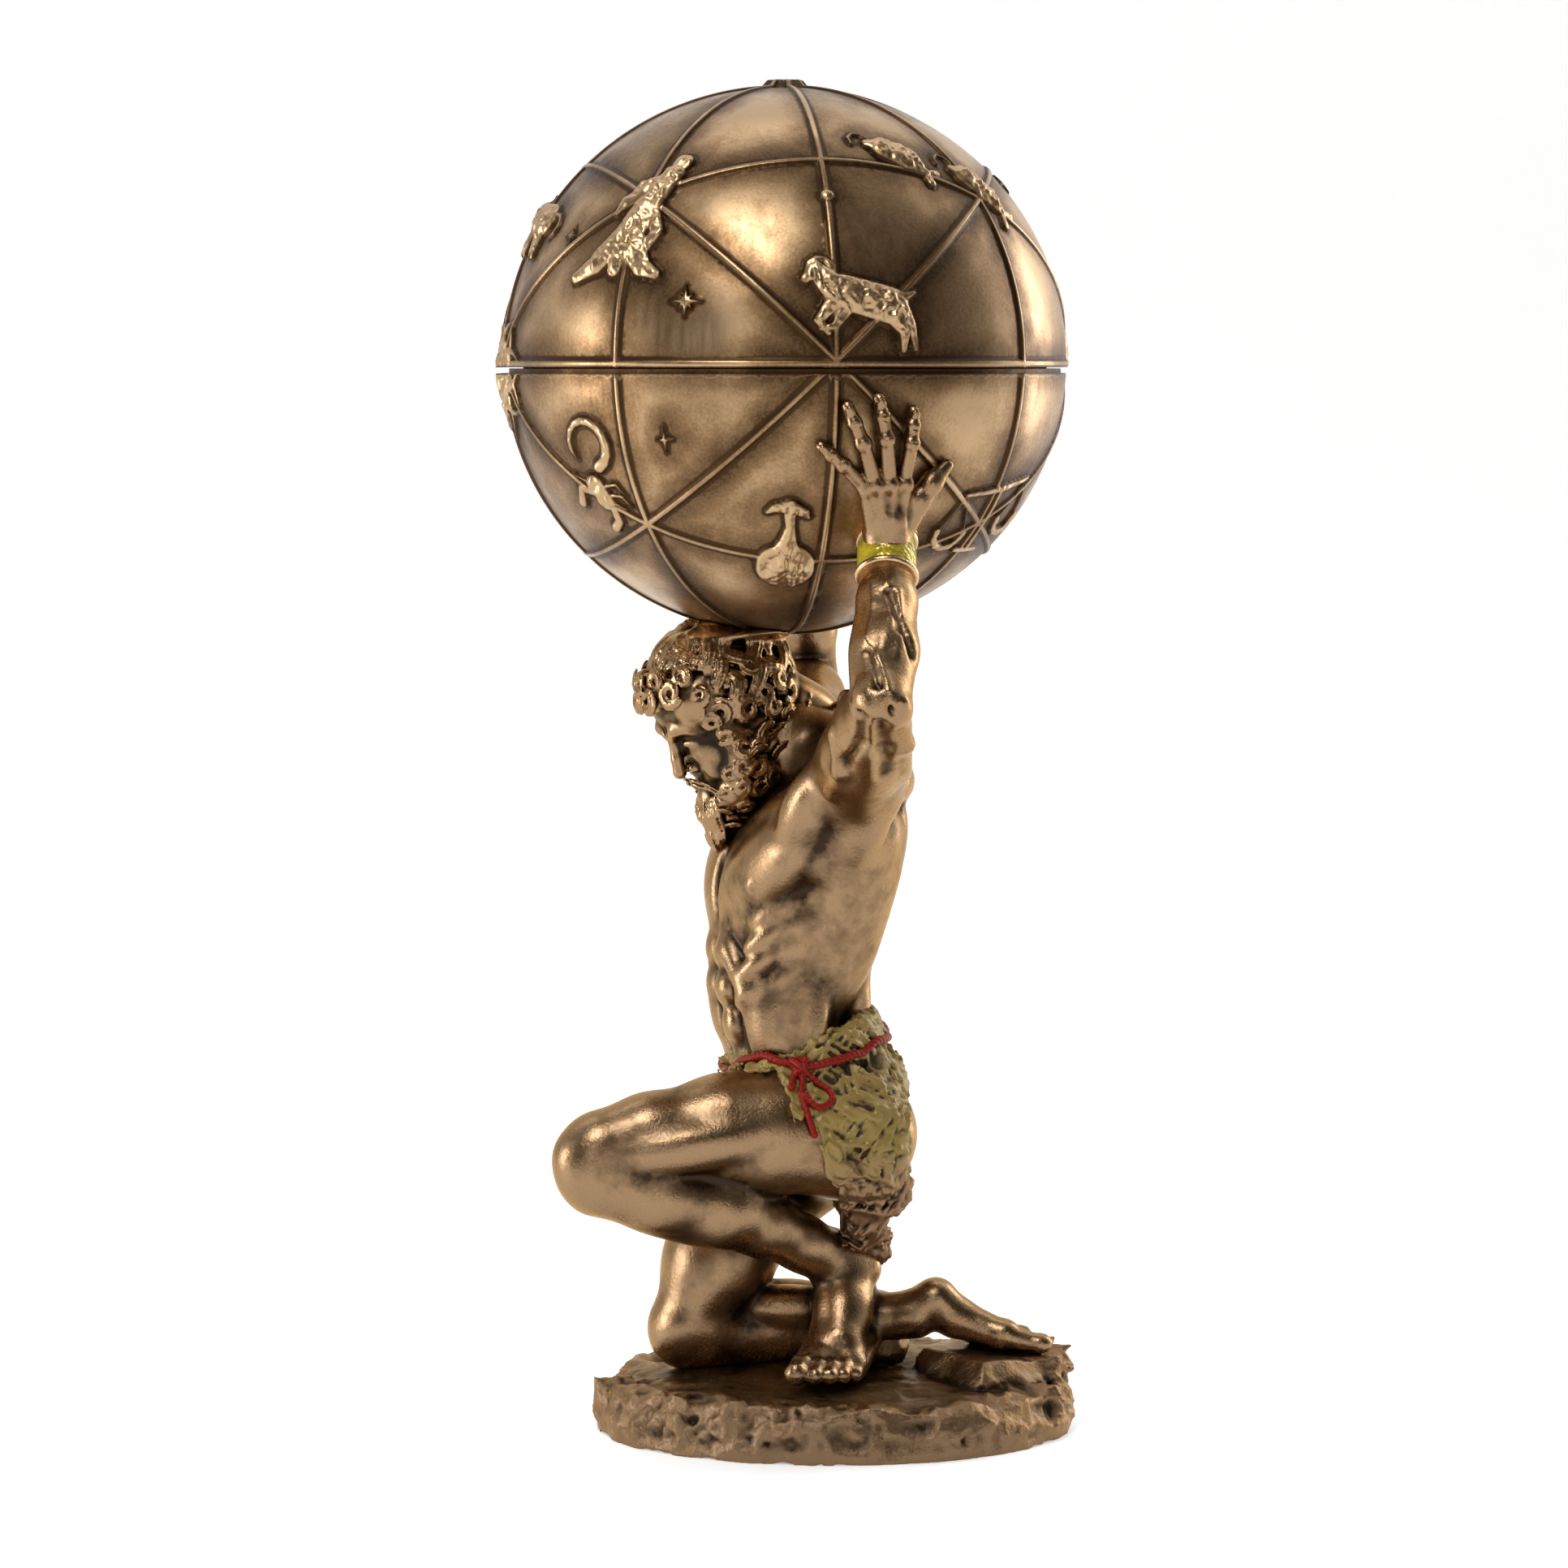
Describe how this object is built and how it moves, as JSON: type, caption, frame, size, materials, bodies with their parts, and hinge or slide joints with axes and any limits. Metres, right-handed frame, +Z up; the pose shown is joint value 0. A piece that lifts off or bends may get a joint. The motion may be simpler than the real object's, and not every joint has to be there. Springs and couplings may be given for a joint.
{
  "type": "atlas statue",
  "caption": "Bronze statuette of a kneeling bearded giant carrying a star globe whose upper half lifts off as a box lid.",
  "frame": {"origin": "on the flat underside of the rock, below the middle of the globe", "axes": "+Z up; the figure looks towards -X; its left side, the side of the lifted knee, is at -Y"},
  "size_m": [0.1292, 0.1647, 0.3],
  "materials": {
    "dark_bronze": "cast resin bronze with a dark brown patina, rubbed bright on the high places",
    "brushed_bronze": "brushed warm bronze with dark patina beside the ribs and signs",
    "painted_pelt": "carved fur painted olive yellow over brown",
    "painted_rope": "carved rope painted red",
    "painted_band": "yellow green enamel on the bracelets"
  },
  "bodies": {
    "root": {"figure_and_rock": "dark_bronze", "globe_bowl": "brushed_bronze", "globe_lid": "brushed_bronze"}
  },
  "joints": []
}
